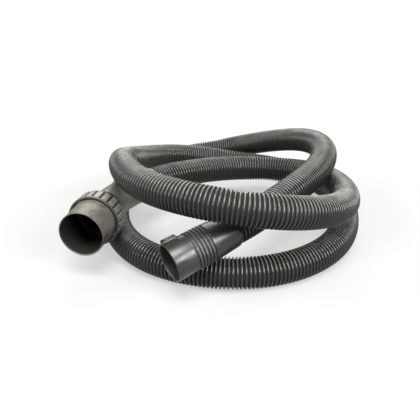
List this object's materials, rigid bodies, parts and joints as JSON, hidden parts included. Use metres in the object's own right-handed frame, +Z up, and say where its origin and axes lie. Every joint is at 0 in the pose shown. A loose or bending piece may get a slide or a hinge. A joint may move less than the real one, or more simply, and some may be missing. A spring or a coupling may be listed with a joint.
{
  "type": "vacuum hose",
  "caption": "Ribbed suction hose lying in loose loops, with a swivelling machine connector on a bent neck and a swivelling tapered tool cuff",
  "frame": {"origin": "on the floor under the middle of the looped hose's box", "axes": "+Z up; +Y from the two fittings across the loops to the far side; the loops are longest along Y and lowest along Z"},
  "size_m": [0.44, 0.5455, 0.1507],
  "materials": {
    "hose_plastic": "semi-gloss dark grey",
    "spigot_plastic": "worn and dusty",
    "collar_plastic": "dusty, moulded",
    "neck_plastic": "satin dark grey",
    "cuff_plastic": "semi-gloss dark grey",
    "button_plastic": "semi-gloss dark grey",
    "bush_plastic": "moulded black",
    "slip_plastic": "black acetal",
    "seal_rubber": "matt black",
    "spring_steel": "bright spring steel"
  },
  "bodies": {
    "hose_body": {"hose": "hose_plastic", "machine_bush": "bush_plastic", "bent_neck": "neck_plastic", "machine_seal": "seal_rubber", "tool_bush": "bush_plastic"},
    "machine_connector": {"machine_spigot": "spigot_plastic", "grip_collar": "collar_plastic", "rear_cap": "neck_plastic", "collar_snap_ring": "spring_steel", "front_slip_ring": "slip_plastic", "rear_slip_ring": "slip_plastic"},
    "cuff": {"tool_cuff": "cuff_plastic", "tool_stop_ring": "bush_plastic", "tool_seal": "seal_rubber", "tool_slip_ring": "slip_plastic", "button_spring": "spring_steel"},
    "button": {"release_button": "button_plastic"}
  },
  "joints": [
    {"name": "machine_swivel", "type": "hinge", "parent": "hose_body", "child": "machine_connector", "pos_m": [-0.191, -0.2, 0.0675], "axis": [0.2079, 0.9781, 0], "continuous": true},
    {"name": "cuff_swivel", "type": "hinge", "parent": "hose_body", "child": "cuff", "pos_m": [-0.073, -0.254, 0.0565], "axis": [0.8279, 0.5174, 0.2164], "continuous": true},
    {"name": "button_press", "type": "slide", "parent": "cuff", "child": "button", "axis": [0.3063, -0.0939, -0.9473], "range_m": [0, 0.0015], "deforming": ["button_spring"]}
  ]
}
